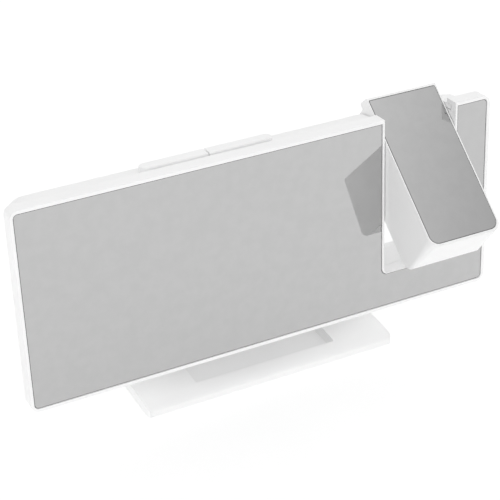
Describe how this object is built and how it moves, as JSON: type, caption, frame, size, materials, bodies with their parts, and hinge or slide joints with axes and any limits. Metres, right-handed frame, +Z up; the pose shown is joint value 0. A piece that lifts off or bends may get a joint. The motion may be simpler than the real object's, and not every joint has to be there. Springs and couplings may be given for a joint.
{
  "type": "projection alarm clock",
  "caption": "Mirror-fronted alarm clock on a plate stand, with a projector arm that swings forward on hollow pivots in a notch at one end of the case.",
  "frame": {"origin": "on the resting plane of the rubber feet, under the middle of the bounding box", "axes": "+Z up, the mirror faces -Y (leaning back 5.5 degrees), +X runs to the right seen from the front, towards the projector arm"},
  "size_m": [0.1878, 0.0868, 0.0955],
  "materials": {
    "white_plastic": "fine satin moulding",
    "mirror": "silvered, polished",
    "diffuser": "frosted",
    "dark_plastic": "fine satin moulding",
    "circuit_board": "solder mask over glass fibre",
    "steel": "plated",
    "lamp": "clear epoxy",
    "optical_glass": "polished",
    "slide_film": "smooth",
    "cable_jacket": "satin",
    "rubber_foot": "matte"
  },
  "bodies": {
    "case_and_stand": {"front_shell": "white_plastic", "front_mirror": "mirror", "diffuser_sheet": "diffuser", "light_box": "white_plastic", "main_board": "circuit_board", "digit_leds": "lamp", "control_chips": "dark_plastic", "rear_switches": "dark_plastic", "board_screws": "steel", "buzzer": "dark_plastic", "cell_holder": "dark_plastic", "coin_cell": "steel", "power_inlet": "steel", "charging_socket": "steel", "rear_shell": "white_plastic", "case_screws": "steel", "key_board": "circuit_board", "key_switches": "dark_plastic", "pivot_washers": "steel", "base_plate": "white_plastic", "stand_neck": "white_plastic", "neck_screws": "steel", "base_screws": "steel", "rubber_feet": "rubber_foot"},
    "projector_arm": {"arm_shell": "white_plastic", "arm_mirror": "mirror", "left_pivot": "dark_plastic", "right_pivot": "dark_plastic", "pivot_clips": "steel", "lens_sleeve": "dark_plastic", "lamp_housing": "dark_plastic", "image_slide": "slide_film", "condenser_lens": "optical_glass", "lamp_board": "circuit_board", "projector_lamp": "lamp", "lamp_screws": "steel", "lamp_cable": "cable_jacket"},
    "focus_wheel": {"focus_wheel": "dark_plastic"},
    "focusing_tube": {"focus_tube": "dark_plastic", "front_lens": "optical_glass", "rear_lens": "optical_glass"},
    "snooze_key": {"snooze_key": "white_plastic"},
    "light_key": {"light_key": "white_plastic"},
    "mode_button": {"mode_button": "white_plastic"},
    "set_button": {"set_button": "white_plastic"},
    "up_button": {"up_button": "white_plastic"},
    "down_button": {"down_button": "white_plastic"},
    "projector_button": {"projector_button": "white_plastic"},
    "battery_lid": {"battery_lid": "white_plastic"}
  },
  "joints": [
    {"name": "arm_hinge", "type": "hinge", "parent": "case_and_stand", "child": "projector_arm", "pos_m": [0.06355, 0.00164, 0.07905], "axis": [-1, 0, 0], "range_deg": [-47.8, 132.2]},
    {"name": "focus_wheel_turn", "type": "hinge", "parent": "projector_arm", "child": "focus_wheel", "pos_m": [0.06355, -0.00679, 0.06996], "axis": [0, 0.8018, 0.5976], "range_deg": [-120, 120]},
    {"name": "focusing_tube_slide", "type": "slide", "parent": "projector_arm", "child": "focusing_tube", "axis": [0, 0.8018, 0.5976], "range_m": [-0.0015, 0.0015]},
    {"name": "snooze_key_press", "type": "slide", "parent": "case_and_stand", "child": "snooze_key", "axis": [0, -0.0958, -0.9954], "range_m": [0, 0.0008], "stiffness_N_per_m": 400, "springref_m": -0.0005},
    {"name": "light_key_press", "type": "slide", "parent": "case_and_stand", "child": "light_key", "axis": [0, -0.0958, -0.9954], "range_m": [0, 0.0008], "stiffness_N_per_m": 400, "springref_m": -0.0005},
    {"name": "mode_button_press", "type": "slide", "parent": "case_and_stand", "child": "mode_button", "axis": [0, -0.9954, 0.0958], "range_m": [0, 0.0007], "stiffness_N_per_m": 400, "springref_m": -0.0005},
    {"name": "set_button_press", "type": "slide", "parent": "case_and_stand", "child": "set_button", "axis": [0, -0.9954, 0.0958], "range_m": [0, 0.0007], "stiffness_N_per_m": 400, "springref_m": -0.0005},
    {"name": "up_button_press", "type": "slide", "parent": "case_and_stand", "child": "up_button", "axis": [0, -0.9954, 0.0958], "range_m": [0, 0.0007], "stiffness_N_per_m": 400, "springref_m": -0.0005},
    {"name": "down_button_press", "type": "slide", "parent": "case_and_stand", "child": "down_button", "axis": [0, -0.9954, 0.0958], "range_m": [0, 0.0007], "stiffness_N_per_m": 400, "springref_m": -0.0005},
    {"name": "projector_button_press", "type": "slide", "parent": "case_and_stand", "child": "projector_button", "axis": [0, -0.9954, 0.0958], "range_m": [0, 0.0007], "stiffness_N_per_m": 400, "springref_m": -0.0005},
    {"name": "battery_lid_turn", "type": "hinge", "parent": "case_and_stand", "child": "battery_lid", "pos_m": [-0.0605, 0.01161, 0.06202], "axis": [0, -0.9954, 0.0958], "range_deg": [0, 60]}
  ],
  "couplings": [
    {"joint": "focus_wheel_turn", "follows": "focusing_tube_slide", "rad_per_m": 1396.2}
  ]
}
